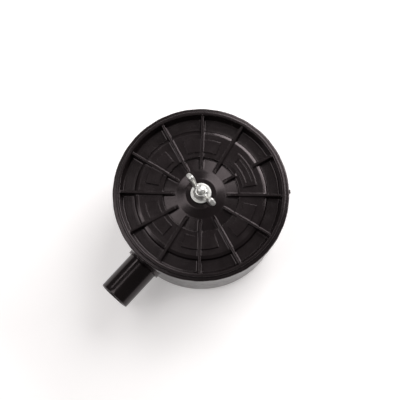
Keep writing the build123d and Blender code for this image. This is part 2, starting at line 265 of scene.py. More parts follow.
# ------------------------------------------------------------------- materials
class Surface:
    """A node material whose colour, roughness and bump are built up in layers.

    Colour and roughness start as constants. Each becomes a node's output when a
    layer is laid over it.
    """

    def __init__(self, name, colour, roughness, **constants):
        self.material = bpy.data.materials.new(name)
        self.material.use_nodes = True
        self.nodes = self.material.node_tree.nodes
        self.links = self.material.node_tree.links
        self.shader = self.nodes["Principled BSDF"]
        self.place = self.nodes.new("ShaderNodeTexCoord").outputs["Object"]
        self.colour = (*colour, 1)
        self.rough = roughness
        self.normal = None
        for socket, number in constants.items():
            self.shader.inputs[socket.replace("_", " ")].default_value = number

    def feed(self, source, socket):
        """Links a node's output to a socket, or sets a constant on it."""
        if isinstance(source, bpy.types.NodeSocket):
            self.links.new(source, socket)
        else:
            socket.default_value = source

    def noise(self, size, detail=4.0, rough=0.55, stretch=None, warp=0.0):
        """Fractal noise whose features are about size millimetres across."""
        node = self.nodes.new("ShaderNodeTexNoise")
        node.inputs["Scale"].default_value = 1 / (size * MM)
        node.inputs["Detail"].default_value = detail
        node.inputs["Roughness"].default_value = rough
        node.inputs["Distortion"].default_value = warp
        place = self.place if stretch is None else self.stretched(stretch)
        self.links.new(place, node.inputs["Vector"])
        return node.outputs["Fac"]

    def stretched(self, stretch):
        """The object's coordinates, scaled along each axis."""
        node = self.nodes.new("ShaderNodeMapping")
        node.inputs["Scale"].default_value = stretch
        self.links.new(self.place, node.inputs["Vector"])
        return node.outputs["Vector"]

    def cells(self, size, feature="F1"):
        """Distance within cells of about size millimetres."""
        node = self.nodes.new("ShaderNodeTexVoronoi")
        node.feature = feature
        node.inputs["Scale"].default_value = 1 / (size * MM)
        self.links.new(self.place, node.inputs["Vector"])
        return node.outputs["Distance"]

    def bands(self, size):
        """Level bands about size millimetres apart, like turning marks."""
        node = self.nodes.new("ShaderNodeTexWave")
        node.wave_type = "BANDS"
        node.bands_direction = "Z"
        node.inputs["Scale"].default_value = 1 / (size * MM) / 20 * math.pi
        node.inputs["Distortion"].default_value = 0.0
        self.links.new(self.place, node.inputs["Vector"])
        return node.outputs["Fac"]

    def ramp(self, source, low, high, to_low=0.0, to_high=1.0):
        """Maps low..high to to_low..to_high with a smooth step."""
        node = self.nodes.new("ShaderNodeMapRange")
        node.interpolation_type = "SMOOTHSTEP"
        node.inputs["From Min"].default_value = low
        node.inputs["From Max"].default_value = high
        node.inputs["To Min"].default_value = to_low
        node.inputs["To Max"].default_value = to_high
        self.links.new(source, node.inputs["Value"])
        return node.outputs["Result"]

    def convex_edges(self, low=0.53, high=0.62):
        """Convex edges, from 0 on flats to 1 on sharp outer edges."""
        pointiness = self.nodes.new("ShaderNodeNewGeometry").outputs["Pointiness"]
        return self.ramp(pointiness, low, high)

    def upward(self):
        """1 where the surface faces up, 0 on walls."""
        split = self.nodes.new("ShaderNodeSeparateXYZ")
        normal = self.nodes.new("ShaderNodeTexCoord").outputs["Normal"]
        self.links.new(normal, split.inputs[0])
        return self.ramp(split.outputs["Z"], 0.6, 0.98)

    def times(self, one, other):
        node = self.nodes.new("ShaderNodeMath")
        node.operation = "MULTIPLY"
        self.feed(one, node.inputs[0])
        self.feed(other, node.inputs[1])
        return node.outputs[0]

    def tint(self, mask, colour):
        """Blends colour in where mask is 1."""
        node = self.nodes.new("ShaderNodeMix")
        node.data_type = "RGBA"
        self.links.new(mask, node.inputs["Factor"])
        self.feed(self.colour, node.inputs["A"])
        node.inputs["B"].default_value = (*colour, 1)
        self.colour = node.outputs["Result"]

    def roughen(self, mask, amount):
        """Adds amount to the roughness where mask is 1."""
        node = self.nodes.new("ShaderNodeMath")
        node.operation = "MULTIPLY_ADD"
        node.use_clamp = True
        self.links.new(mask, node.inputs[0])
        node.inputs[1].default_value = amount
        self.feed(self.rough, node.inputs[2])
        self.rough = node.outputs[0]

    def bump(self, height, depth):
        """Relief of depth millimetres."""
        node = self.nodes.new("ShaderNodeBump")
        node.inputs["Strength"].default_value = 1.0
        node.inputs["Distance"].default_value = depth * MM
        self.links.new(height, node.inputs["Height"])
        if self.normal is not None:
            self.links.new(self.normal, node.inputs["Normal"])
        self.normal = node.outputs["Normal"]

    def finish(self):
        self.feed(self.colour, self.shader.inputs["Base Color"])
        self.feed(self.rough, self.shader.inputs["Roughness"])
        if self.normal is not None:
            self.links.new(self.normal, self.shader.inputs["Normal"])
        return self.material


def moulded_plastic(name, colour, pale, roughness, dust, grain, shine=0.5):
    """Black polypropylene: flow marks, fine grain, scuffs, convex edges lightened partly as wear and
    partly as a painted highlight, dust on what faces up.
    """
    warm_shine = (1.0, 0.86, 0.88, 1.0)
    s = Surface(name, colour, roughness, Specular_IOR_Level=shine, Specular_Tint=warm_shine)
    flow = s.noise(26, 5, 0.6, warp=1.4)
    s.tint(s.ramp(flow, 0.42, 0.72, 0, 0.6), pale)
    s.roughen(s.ramp(s.noise(9, 6, 0.6), 0.35, 0.7), 0.06)
    scuffs = s.ramp(s.noise(1.6, 8, 0.7, stretch=(1.0, 0.25, 1.0)), 0.60, 0.74)
    s.tint(s.times(scuffs, 0.35), pale)
    s.roughen(scuffs, 0.08)
    # painted highlight mixed with edge wear: convex edges such as the rib tops are lightened, partly
    # as wear and partly standing in for light caught on their rounded edges
    s.tint(s.times(s.convex_edges(), 0.35), pale)
    specks = s.ramp(s.noise(0.9, 3, 0.6), 0.70, 0.80)
    settled = s.times(s.times(specks, s.ramp(s.noise(30, 3), 0.4, 0.65)), s.upward())
    s.tint(s.times(settled, dust), (0.30, 0.28, 0.26))
    s.roughen(settled, 0.2)
    s.bump(s.noise(0.35, 3, 0.6), grain)
    s.bump(s.noise(14, 3, 0.5), 0.05)
    return s.finish()


def zinc_plate(name, cast):
    """Bright zinc plate: soft hammered or brushed relief, dull patches, dark pores."""
    s = Surface(name, (0.84, 0.83, 0.80), 0.30 if cast else 0.40, Metallic=1.0)
    cloud = s.noise(3.2, 5, 0.6)
    s.tint(s.ramp(cloud, 0.40, 0.70, 0, 0.7), (0.60, 0.60, 0.59))
    s.roughen(s.ramp(s.noise(1.1, 6, 0.65), 0.35, 0.72), 0.22)
    pores = s.ramp(s.cells(0.8), 0.16, 0.06)
    s.tint(s.times(pores, 0.5), (0.20, 0.19, 0.18))
    s.bump(s.noise(0.6, 4, 0.6), 0.025 if cast else 0.012)
    s.bump(s.noise(2.4, 3, 0.5), 0.12 if cast else 0.03)
    return s.finish()


def rubber(name, colour, pale):
    """Satin moulded rubber: pale bloom and specks of dust."""
    s = Surface(name, colour, 0.62, Specular_IOR_Level=0.4)
    s.tint(s.ramp(s.noise(6, 6, 0.6), 0.4, 0.75, 0, 0.8), pale)
    s.tint(s.times(s.ramp(s.noise(0.7, 3), 0.66, 0.78), 0.5), (0.25, 0.24, 0.22))
    s.roughen(s.ramp(s.noise(3, 5), 0.35, 0.7), 0.15)
    s.bump(s.noise(0.4, 4, 0.6), 0.04)
    return s.finish()


def foam(name, colour, dark, cell):
    """Open-cell foam: cells of a size in millimetres, darkened in places."""
    s = Surface(name, colour, 0.92, Specular_IOR_Level=0.2, Sheen_Weight=0.15, Sheen_Roughness=0.6)
    pores = s.ramp(s.cells(cell, "DISTANCE_TO_EDGE"), 0.02, 0.22)
    s.tint(s.ramp(pores, 0.5, 0.0), dark)
    s.tint(s.times(s.ramp(s.noise(12, 5), 0.45, 0.75), 0.6), dark)
    s.roughen(s.ramp(s.noise(4, 4), 0.4, 0.7), 0.06)
    s.bump(s.ramp(pores, 1.0, 0.0), 0.5 * cell)
    return s.finish()


def filter_paper():
    """Resin-treated paper: mottled, with upright fibres and soiled folds."""
    s = Surface("filter_paper", (0.72, 0.62, 0.40), 0.85, Specular_IOR_Level=0.25)
    s.tint(s.ramp(s.noise(8, 6, 0.65), 0.4, 0.75, 0, 0.8), (0.58, 0.47, 0.28))
    fibres = s.noise(0.5, 6, 0.7, stretch=(1, 1, 0.2))
    s.tint(s.times(s.ramp(fibres, 0.55, 0.75), 0.5), (0.86, 0.79, 0.62))
    s.tint(s.times(s.convex_edges(0.52, 0.60), 0.45), (0.46, 0.41, 0.33))
    s.roughen(s.ramp(fibres, 0.4, 0.7), 0.08)
    s.bump(fibres, 0.05)
    return s.finish()


def brass():
    """Turned brass, tarnished in places."""
    s = Surface("turned_brass", (0.78, 0.56, 0.22), 0.28, Metallic=1.0)
    s.tint(s.ramp(s.noise(2.5, 5), 0.45, 0.75), (0.52, 0.36, 0.15))
    s.roughen(s.ramp(s.noise(1.2, 5), 0.4, 0.7), 0.2)
    s.bump(s.bands(0.25), 0.01)
    return s.finish()


def wire():
    """Galvanised wire with dull patches."""
    s = Surface("galvanised_wire", (0.60, 0.60, 0.59), 0.38, Metallic=1.0)
    s.tint(s.ramp(s.noise(1.5, 5), 0.4, 0.75), (0.38, 0.38, 0.38))
    s.roughen(s.ramp(s.noise(0.8, 5), 0.4, 0.7), 0.2)
    s.bump(s.noise(0.3, 4), 0.02)
    return s.finish()


COVER_PLASTIC = moulded_plastic(
    "cover_plastic", colour=(0.0065, 0.0046, 0.0049), pale=(0.0105, 0.0078, 0.0082),
    roughness=0.21, dust=0.20, grain=0.004, shine=0.42,
)
DRUM_PLASTIC = moulded_plastic(
    "drum_plastic", colour=(0.0100, 0.0075, 0.0078), pale=(0.018, 0.0138, 0.0142),
    roughness=0.22, dust=0.15, grain=0.004,
)
SPIGOT_PLASTIC = moulded_plastic(
    "spigot_plastic", colour=(0.0050, 0.0036, 0.0036), pale=(0.009, 0.0068, 0.0068),
    roughness=0.14, dust=0.08, grain=0.003, shine=0.35,
)
CAGE_PLASTIC = moulded_plastic(
    "cage_plastic", colour=(0.030, 0.030, 0.031), pale=(0.055, 0.055, 0.055),
    roughness=0.42, dust=0.2, grain=0.02,
)
ZINC_CASTING = zinc_plate("zinc_casting", cast=True)
ZINC_STEEL = zinc_plate("zinc_steel", cast=False)
SEAL_RUBBER = rubber("seal_rubber", colour=(0.022, 0.022, 0.023), pale=(0.045, 0.045, 0.045))
CAP_RUBBER = rubber("cap_rubber", colour=(0.060, 0.062, 0.070), pale=(0.10, 0.10, 0.11))
LINER_FOAM = foam("liner_foam", colour=(0.045, 0.045, 0.048), dark=(0.012, 0.012, 0.013), cell=1.6)
SLEEVE_FOAM = foam("sleeve_foam", colour=(0.070, 0.071, 0.076), dark=(0.020, 0.020, 0.022), cell=1.1)
FILTER_PAPER = filter_paper()
BRASS = brass()
WIRE = wire()


# ----------------------------------------------------------------------- cover
# the cover's section as (radius, height, corner radius), from the rod's hole out
# over the ribbed side and back along the underside
cover_corners = [
    (ROD_HOLE_R, HUB_TOP, 0.5),
    (HUB_R, HUB_TOP, 2.6),
    (CONE_R, CONE_TOP, 2.4),
    (MOAT_R - 0.4, CONE_FOOT, 0.6),
    (MOAT_R, PLATEAU, 0.7),
    (PLATEAU_R - BEVEL_WIDTH, PLATEAU, 0.7),
    (PLATEAU_R, PLATEAU - BEVEL_DROP, 0.7),
    (PLATEAU_R + 0.6, CHANNEL, 0.9),
    (CHANNEL_R, CHANNEL, 1.0),
    (LIP_INNER_R, RIM_TOP, 1.0),
    (LIP_OUTER_R, RIM_TOP, 0.9),
    (LIP_OUTER_R + 0.3, FLANGE_TOP, 0.7),
    (COVER_R, FLANGE_TOP, 1.5),
    (COVER_R, SKIRT_LOW, 0.6),
    (SKIRT_INNER_R, SKIRT_LOW, 0.4),
    (SKIRT_INNER_R, GASKET_TOP, 0.3),
    (PLUG_R, GASKET_TOP, 0.3),
    (PLUG_R - 0.4, CHANNEL - WALL, 0.8),
    (PLATEAU_R - 2.0, CHANNEL - WALL, 0.8),
    (PLATEAU_R - 2.8, PLATEAU - WALL, 0.6),
    (MOAT_R + 2.8, PLATEAU - WALL, 0.6),
    (MOAT_R + 2.0, CONE_FOOT - WALL, 0.8),
    (CONE_R, CONE_TOP - WALL, 1.2),
    (HUB_R, HUB_TOP - WALL, 1.2),
    (ROD_HOLE_R, HUB_TOP - WALL, 0.3),
]
LAST_RIBBED_CORNER = 9    # last corner of the ribbed side, counted from 0

# a rib's section: distances from its middle plane and shares of its height
RIB_FLAT = 0.8            # half width of the flat top
RIB_HALF = 1.15           # half width at the shoulder
RIB_FOOT = 1.35           # half width at the foot, where the fillet starts
SHOULDER_DROP = 0.10
FILLET_SHARE = 0.16
FILLET_REACH = 0.75
RIB_OFFSETS = (0, 0.45, 0.8, 0.95, 1.05, 1.12, 1.18, 1.25, 1.35, 1.5, 1.75, 2.1, 2.8)

# a rib rises out of the cone on a ramp, and then climbs gently to the lip
RAMP_FOOT_R = 21.5
RAMP_SLOPE = 0.8
CLIMB_START_R = 25.0

# the framed plaque has a sunk window, and its rib stops on both sides of it
RIB_GAP = (PLAQUE_INNER_R - 1.8, PLAQUE_OUTER_R + 1.8)
GAP_EDGE = 0.3            # half width of the rib's sloping ends at the gap
WINDOW = (PLAQUE_INNER_R + 3.0, PLAQUE_OUTER_R - 3.0)
WINDOW_HALF_ARC = PLAQUE_HALF_ARC - 5.0
WINDOW_DEPTH = 0.9
EDGE = 0.26               # half width of a plaque's sloping edge
# degrees beside each edge at which the mesh has a column
EDGE_STEPS = (-0.9, -0.55, -0.4, -0.27, -0.16, -0.05, 0.05, 0.16, 0.27, 0.4, 0.55, 0.9)

# steps between the mesh's rows: fine at the radii where the relief has an edge
FINE_RADII = (*RIB_GAP, PLAQUE_INNER_R, PLAQUE_OUTER_R, *WINDOW, RAMP_FOOT_R, CLIMB_START_R)
FINE_STEP, RIBBED_STEP, UNDERSIDE_STEP = 0.12, 1.7, 2.4

WAVINESS = 0.05           # of the ribbed side, within the rim

TAB_SUNK = 2.0            # how far the tab reaches into the rim
TAB_STANDS_OUT = 1.35
TAB_ROOT_HALF, TAB_TIP_HALF = 2.1, 1.7
# height over the skirt's foot, and share of the tab's width there
TAB_LEVELS = ((0.6, 0.7), (0.75, 0.9), (1.0, 1.0), (3.1, 1.0), (3.4, 0.9), (3.6, 0.7))


def near(angle, centre):
    """Signed angle from centre, in degrees, between -180 and 180."""
    return (angle - centre + 180) % 360 - 180


def nearest(degrees, first, pitch):
    """The nearest of the angles first, first + pitch and so on."""
    return first + pitch * round(near(degrees, first) / pitch)


def rib_section(offset):
    """Share of a rib's height at a distance from its middle plane."""
    if offset < RIB_FLAT:
        return 1.0
    if offset < RIB_HALF:
        return 1.0 - SHOULDER_DROP * ((offset - RIB_FLAT) / (RIB_HALF - RIB_FLAT)) ** 2
    if offset < RIB_FOOT:
        side = (offset - RIB_HALF) / (RIB_FOOT - RIB_HALF)
        return mix(1.0 - SHOULDER_DROP, FILLET_SHARE, side)
    return FILLET_SHARE * max(0.0, 1 - (offset - RIB_FOOT) / FILLET_REACH) ** 2


def rib_top(radius):
    climb = (radius - CLIMB_START_R) / (LIP_INNER_R - CLIMB_START_R)
    on_ramp = CONE_TOP - 1.0 + (radius - RAMP_FOOT_R + 1.0) * RAMP_SLOPE
    return min(mix(RIB_TOP_AT_HUB, RIB_TOP_AT_WALL, climb), on_ramp)


def arc_field(radius, across, inner, outer, half_arc):
    """1 inside an arc-shaped field and 0 outside it, with sloping edges."""
    half = math.radians(half_arc) * radius
    share = ease(radius, inner - EDGE, inner + EDGE)
    share *= 1 - ease(radius, outer - EDGE, outer + EDGE)
    return share * (1 - ease(across, half - EDGE, half + EDGE))


def gap_share(radius):
    """1 in the framed plaque's gap in its rib, 0 outside it."""
    inner, outer = RIB_GAP
    share = ease(radius, inner - GAP_EDGE, inner + GAP_EDGE)
    return share * (1 - ease(radius, outer - GAP_EDGE, outer + GAP_EDGE))


def cover_relief(radius, degrees, base):
    """Height of the ribbed side at a place, given the plain turned height."""
    rib = nearest(degrees, RIB_FIRST, RIB_PITCH)
    plaque = nearest(degrees, FRAMED_PLAQUE, PLAQUE_PITCH)
    framed = abs(near(plaque, FRAMED_PLAQUE)) < 1
    across = math.radians(abs(near(degrees, plaque))) * radius
    raised = arc_field(radius, across, PLAQUE_INNER_R, PLAQUE_OUTER_R, PLAQUE_HALF_ARC)
    height = base + PLAQUE_RISE * raised
    if framed:
        height -= WINDOW_DEPTH * arc_field(radius, across, *WINDOW, WINDOW_HALF_ARC)
    rise = rib_top(radius) - height
    if rise > 0:
        share = rib_section(abs(math.sin(math.radians(near(degrees, rib)))) * radius)
        if framed and abs(near(rib, FRAMED_PLAQUE)) < 1:
            share *= 1 - gap_share(radius)
        height += rise * share
    return height


def cover_columns():
    """(angle in degrees, offset from it in millimetres) of each column of the mesh."""
    columns = []
    for k in range(RIB_COUNT):
        rib = RIB_FIRST + RIB_PITCH * k
        edges = [PLAQUE_HALF_ARC, RIB_PITCH - PLAQUE_HALF_ARC]
        if min(abs(near(rib, FRAMED_PLAQUE)), abs(near(rib + RIB_PITCH, FRAMED_PLAQUE))) < 1:
            edges += [WINDOW_HALF_ARC, RIB_PITCH - WINDOW_HALF_ARC]
        turns = {RIB_PITCH / 2}
        for edge in edges:
            turns.update(edge + step for step in EDGE_STEPS)
        columns += [(rib, offset) for offset in RIB_OFFSETS]
        columns += [(rib + turn, 0.0) for turn in sorted(turns)]
        columns += [(rib + RIB_PITCH, -offset) for offset in reversed(RIB_OFFSETS[1:])]
    return columns


def cover_spacing(radius, height):
    if height < PLATEAU - WALL + 0.1:
        return UNDERSIDE_STEP
    distance = min(abs(radius - fine) for fine in FINE_RADII)
    return min(RIBBED_STEP, max(FINE_STEP, distance - 0.3))


def make_cover():
    """A turned dish with a tab, its upper side raised into ribs and plaques."""
    corners = [corner[:2] for corner in cover_corners]
    outline = rounded_outline(corners, [corner[2] for corner in cover_corners], arc_step=15.0)
    rows = densify(outline, cover_spacing)
    columns = cover_columns()
    vertices = []
    for radius, height, corner in rows:
        for angle, offset in columns:
            degrees = angle + math.degrees(math.asin(offset / max(radius, 20.0)))
            x, y, z = polar(radius, math.radians(degrees), height)
            if corner <= LAST_RIBBED_CORNER:
                z = cover_relief(radius, degrees, height)
                within_rim = ease(radius, 12, 20) * (1 - ease(radius, 66, 68))
                z += WAVINESS * wobble(x, y, 0, 17) * within_rim
            vertices.append((x, y, z))
    shape = joined(outward(vertices, grid_faces(len(rows), len(columns))), rim_tab())
    add_piece("cover_dish", shape, COVER_PLASTIC, "lid", ["cover"])


def rim_tab():
    """A small moulded tab on the rim, narrower towards its tip, top and bottom."""
    inner, outer = COVER_R - TAB_SUNK, COVER_R + TAB_STANDS_OUT
    root, tip = TAB_ROOT_HALF, TAB_TIP_HALF
    corners = [(inner, -root), (outer, -tip), (outer, tip), (inner, root)]
    outline = rounded_outline(corners, [0.1, 0.8, 0.8, 0.1])
    vertices = []
    for height, share in TAB_LEVELS:
        for x, y, _ in outline:
            x = inner + (x - inner) * mix(0.6, 1.0, share)
            vertices.append((x, y * share, SKIRT_LOW + height))
    return outward(turned(vertices, TAB_ANGLE), tube_faces(len(TAB_LEVELS), len(outline)))


make_cover()


# ----------------------------------------------------- washers, rod and wing nut
WASHER_HOLE_R, SEAL_HOLE_R = 3.2, 3.15
THREAD_CREST, THREAD_ROOT = 2.95, 2.42
ROD_END_R = 2.2           # radius at the rod's chamfered ends

NUT_BORE_R = 3.1
HUB_HEIGHT = 8.0
HUB_FOOT_R, HUB_NECK_R, HUB_CROWN_R = 6.5, 5.4, 5.0

# radius and height over the base at which a wing's middle line starts, and of the
# point that it bends towards
WING_START, WING_BEND = (4.0, 3.8), (8.4, 3.9)
TIP_BELOW_TOP = 4.5       # from the top of the nut to the middle line's end
TIP_LENGTH = 4.0
ROOT_TALL, WAIST_TALL, TIP_TALL = 3.5, 3.0, 4.0         # half heights
ROOT_THICK, WAIST_THICK, TIP_THICK = 2.6, 2.0, 2.6      # half thicknesses
SECTION_POWER = 0.6       # 1 makes a wing's sections elliptical, 0 rectangular
TIP_POWER = 0.3


def scraped(x, y, z):
    """A pressed disc's slight unevenness."""
    return x, y, z + 0.03 * wobble(x, y, z, 4.0, 3.0)


def make_washers():
    profile = ring_profile(WASHER_HOLE_R, washer_high[0], washer_low[2], washer_high[2], 0.35, 0.8)
    plate = lathe(profile, 96, scraped)
    add_piece("flat_washer_plate", plate, ZINC_STEEL, "washer_stack", ["flat_washer"])
    profile = ring_profile(SEAL_HOLE_R, seal_high[0], seal_low[2], seal_high[2], 0.45, 0.8)
    ring = lathe(profile, 96)
    add_piece("sealing_washer_ring", ring, SEAL_RUBBER, "washer_stack", ["sealing_washer"])


def make_threaded_rod():
    """M6 rod with its helical thread cut down to a chamfer at each end."""
    low, high = rod_low[2], rod_high[2]
    around, rows_a_turn = 32, 8
    rows = round((high - low) / THREAD_PITCH * rows_a_turn) + 1
    vertices = []
    for i in range(rows):
        z = mix(low, high, i / (rows - 1))
        limit = ROD_END_R + min(high - z, z - low)
        for j in range(around):
            phase = (z / THREAD_PITCH - j / around) % 1.0
            flank = ease(abs(phase - 0.5) * 2, 0.12, 0.88)
            radius = min(mix(THREAD_CREST, THREAD_ROOT, flank), limit)
            vertices.append(polar(radius, 2 * math.pi * j / around, z))
    rod = outward(vertices, tube_faces(rows, around))
    add_piece("centre_rod", rod, ZINC_STEEL, "drum", ["tie_rod"], sharp=50)


def wing_sections():
    """(centre, direction, half height, half thickness) of sections from hub to tip."""
    base = nut_low[2]
    wing_reach = (nut_high[1] - nut_low[1]) / 2 / math.sin(math.radians(NUT_ANGLE))
    start = Vector((WING_START[0], base + WING_START[1]))
    bend = Vector((WING_BEND[0], base + WING_BEND[1]))
    end = Vector((wing_reach - TIP_LENGTH, nut_high[2] - TIP_BELOW_TOP))
    stations, tip_stations = 22, 8
    sections = []
    for i in range(stations + 1):
        t = i / stations
        centre = start * (1 - t) ** 2 + bend * 2 * t * (1 - t) + end * t * t
        along = ((bend - start) * (1 - t) + (end - bend) * t).normalized()
        tall = mix(ROOT_TALL, WAIST_TALL, ease(t, 0, 0.45))
        tall += (TIP_TALL - WAIST_TALL) * ease(t, 0.5, 1.0)
        thick = mix(ROOT_THICK, WAIST_THICK, ease(t, 0.05, 0.5))
        thick += (TIP_THICK - WAIST_THICK) * ease(t, 0.5, 0.95)
        sections.append((centre, along, tall, thick))
    past = (end - bend).normalized()
    for i in range(1, tip_stations + 1):
        t = math.pi / 2 * i / tip_stations
        share = math.cos(t) ** TIP_POWER if i < tip_stations else 0.1
        centre = end + past * (TIP_LENGTH * math.sin(t))
        sections.append((centre, past, TIP_TALL * share, TIP_THICK * share))
    return sections


def squared(value):
    """A sine or cosine bent so that an ellipse becomes a rounded rectangle."""
    return math.copysign(abs(value) ** SECTION_POWER, value)


def wing(side):
    """One wing: sections along a curve that leaves the hub and rises to a broad tip."""
    around = 32
    sections = wing_sections()
    vertices = []
    for centre, along, tall, thick in sections:
        across = Vector((-along.y, along.x))
        for j in range(around):
            a = 2 * math.pi * j / around
            point = centre + across * (tall * squared(math.cos(a)))
            vertices.append((point.x, thick * squared(math.sin(a)), point.y))
    return outward(turned(vertices, NUT_ANGLE + side), tube_faces(len(sections), around))


def make_wing_nut():
    """Hub and wings as closed forms, fused by a fine voxel remesh and smoothed like a casting."""
    base = nut_low[2]
    corners = [
        (NUT_BORE_R, base), (HUB_FOOT_R, base), (HUB_FOOT_R, base + 2.0), (HUB_NECK_R, base + 3.0),
        (HUB_CROWN_R, base + HUB_HEIGHT), (NUT_BORE_R, base + HUB_HEIGHT),
    ]
    outline = rounded_outline(corners, [0.3, 0.5, 0.8, 0.8, 1.4, 0.5])
    hub = lathe(densify(outline, lambda x, y: 0.6), 72)
    shape = joined(hub, wing(0), wing(180))
    nut = add_piece("wing_nut_casting", shape, ZINC_CASTING, "clamp_nut", ["wing_nut"])
    fuse = nut.modifiers.new("fuse", "REMESH")
    fuse.mode = "VOXEL"
    fuse.voxel_size = 0.24 * MM
    soften = nut.modifiers.new("soften", "SMOOTH")
    soften.factor = 0.5
    soften.iterations = 5
    bake(nut)
    clear_bore(nut, NUT_BORE_R)


def clear_bore(nut, radius):
    """Pushes what the wings' roots left inside the thread's bore back to its wall."""
    for vertex in nut.data.vertices:
        reach = math.hypot(vertex.co.x, vertex.co.y)
        if 0 < reach < radius * MM:
            vertex.co.x *= radius * MM / reach
            vertex.co.y *= radius * MM / reach


make_washers()
make_threaded_rod()
make_wing_nut()


# ---------------------------------------------------------------------- spigot
def make_spigot():
    """Smooth tube with a reduced neck in the drum's collar, laid along +X."""
    axis_z = (spigot_low[2] + spigot_high[2]) / 2
    outer = (spigot_high[2] - spigot_low[2]) / 2
    bore, neck = outer - 2.2, outer - 0.6
    start, shoulder, end = spigot_low[0], body_high[0], spigot_high[0]
    corners = [
        (bore, start), (neck, start), (neck, shoulder),
        (outer, shoulder), (outer, end), (bore, end),
    ]
    outline = rounded_outline(corners, [0.2, 0.2, 0, 0.25, 1.0, 0.7], arc_step=15)
    upright, faces = lathe(densify(outline, lambda x, y: 2.5), 128)
    tube = outward([(z, y, axis_z - x) for x, y, z in upright], faces)
    add_piece("spigot_tube", tube, SPIGOT_PLASTIC, "drum", ["outlet_spigot"])


make_spigot()


# -------------------------------------------------------- small metal fixings
def make_lock_nut():
    """Hexagon nut, chamfered at both ends, with a threaded bore's lead-in."""
    low, high = span("rod_lock_nut")
    half_flats = (high[1] - low[1]) / 2
    half_corners, face_r, chamfer = half_flats * 1.155, half_flats * 1.02, 0.75
    bore_r, lead_r, lead = 3.05, 3.3, 0.35
    outline = [
        (lead_r, low[2], 0), (face_r, low[2], 0), (half_corners, low[2] + chamfer, 0),
        (half_corners, high[2] - chamfer, 0), (face_r, high[2], 0), (lead_r, high[2], 0),
        (bore_r, high[2] - lead, 0), (bore_r, low[2] + lead, 0),
    ]
    profile = densify(outline, lambda x, y: 0.5)
    around = 96
    vertices = []
    for radius, height, _ in profile:
        for step in range(around):
            a = 2 * math.pi * step / around
            flat = half_flats / math.cos((a + math.pi / 6) % (math.pi / 3) - math.pi / 6)
            vertices.append(polar(min(radius, flat), a, height))
    nut = outward(vertices, grid_faces(len(profile), around))
    add_piece("rod_nut", nut, ZINC_STEEL, "drum", ["rod_lock_nut"], sharp=35)


def make_rod_washer():
    low, high = span("rod_washer")
    plate = lathe(ring_profile(WASHER_HOLE_R, high[0], low[2], high[2], 0.3, 0.8), 96, scraped)
    add_piece("rod_washer_plate", plate, ZINC_STEEL, "drum", ["rod_washer"])


make_lock_nut()
make_rod_washer()


# ------------------------------------------------------------- rubber and foam
GASKET_WIDTH, GASKET_BEAD = 2.7, 0.3
SEAL_WIDTH, SEAL_BEAD = 9.0, 0.9
FIRST_BEAD, BEAD_PITCH = 1.7, 2.8
CAP_WIDTH, CAP_SINK = 20.4, 0.9


def make_gasket():
    """Flat rubber ring with one raised bead that does the sealing."""
    low, high = span("cover_gasket")
    outer, top = high[0], high[2]
    inner, flat = outer - GASKET_WIDTH, top - GASKET_BEAD
    middle = (inner + outer) / 2
    corners = [
        (inner, low[2]), (outer, low[2]), (outer, flat),
        (middle + 0.5, flat), (middle, top), (middle - 0.5, flat), (inner, flat),
    ]
    ring = lathe(rounded_outline(corners, [0.25, 0.25, 0.25, 0.2, 0.2, 0.2, 0.25]), 240)
    add_piece("cover_gasket_ring", ring, SEAL_RUBBER, "lid", ["cover_gasket"])


def face_outwards(outline, end, low, high):
    """Radii and heights of the outline, growing away from the element's middle."""
    return [(x, high[2] - y if end == "bottom" else low[2] + y) for x, y, _ in outline]


def make_element_seal(end):
    """Moulded ring with three beads on its outer side."""
    low, high = span(f"element_{end}_seal")
    outer, thick = high[0], high[2] - low[2]
    inner = outer - SEAL_WIDTH
    corners = [(inner, 0), (outer, 0)]
    for bead in (2, 1, 0):
        middle, foot = inner + FIRST_BEAD + BEAD_PITCH * bead, thick - SEAL_BEAD
        corners += [(middle + 1.2, foot), (middle, thick), (middle - 1.2, foot)]
    outline = rounded_outline(corners, [0.4, 0.4] + [0.35, 0.6, 0.35] * 3)
    ring = lathe(face_outwards(outline, end, low, high), 180)
    name, node = f"element_{end}_seal_ring", f"element_{end}_seal"
    add_piece(name, ring, SEAL_RUBBER, "filter_element", [node])


def cast(x, y, z):
    """A poured end cap's slight unevenness."""
    return x, y, z + 0.06 * wobble(x, y, z, 8.0, 5.0)


def make_end_cap(end):
    """Cast end cap: a rounded dish with a raised rim, a sunk ring and a bead at the bore."""
    low, high = span(f"element_{end}_cap")
    outer, thick = high[0], high[2] - low[2]
    inner, sunk = outer - CAP_WIDTH, thick - CAP_SINK
    corners = [
        (inner, 0), (outer - 0.5, 0), (outer, 0.5 * thick), (outer, thick), (outer - 2.6, thick),
        (outer - 3.4, sunk), (inner + 3.4, sunk), (inner + 2.6, thick), (inner, thick),
    ]
    outline = rounded_outline(corners, [0.5, 0.6, 0.6, 1.0, 0.5, 0.5, 0.5, 0.5, 0.9])
    profile = densify(outline, lambda x, y: 2.5)
    cap = lathe(face_outwards(profile, end, low, high), 180, cast)
    name, node = f"element_{end}_cap_cast", f"element_{end}_cap"
    add_piece(name, cap, CAP_RUBBER, "filter_element", [node])


def make_foam(name, node, body, material, voxel, depth):
    """A CAD foam piece remeshed finely and pitted with soft, open-cell relief."""
    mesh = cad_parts[node].data.copy()
    mesh.materials.clear()
    mesh.materials.append(material)
    piece = bpy.data.objects.new(name, mesh)
    bpy.context.scene.collection.objects.link(piece)
    remesh = piece.modifiers.new("cells", "REMESH")
    remesh.mode = "VOXEL"
    remesh.voxel_size = voxel * MM
    soften = piece.modifiers.new("soften", "SMOOTH")
    soften.iterations = 3
    bake(piece)
    normals = [vertex.normal.copy() for vertex in piece.data.vertices]
    for vertex, normal in zip(piece.data.vertices, normals):
        x, y, z = (c / MM for c in vertex.co)
        pits = wobble(x, y, z, 1.9, 7.0) + 0.6 * wobble(x, y, z, 0.9, 2.0)
        billow = wobble(x, y, z, 16.0, 4.0)
        inset = 0.5 * depth * (1 - pits) + 0.35 * (1 + billow) * depth
        vertex.co -= normal * inset * MM
    piece.data.update()
    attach(piece, body)
    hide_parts(node)


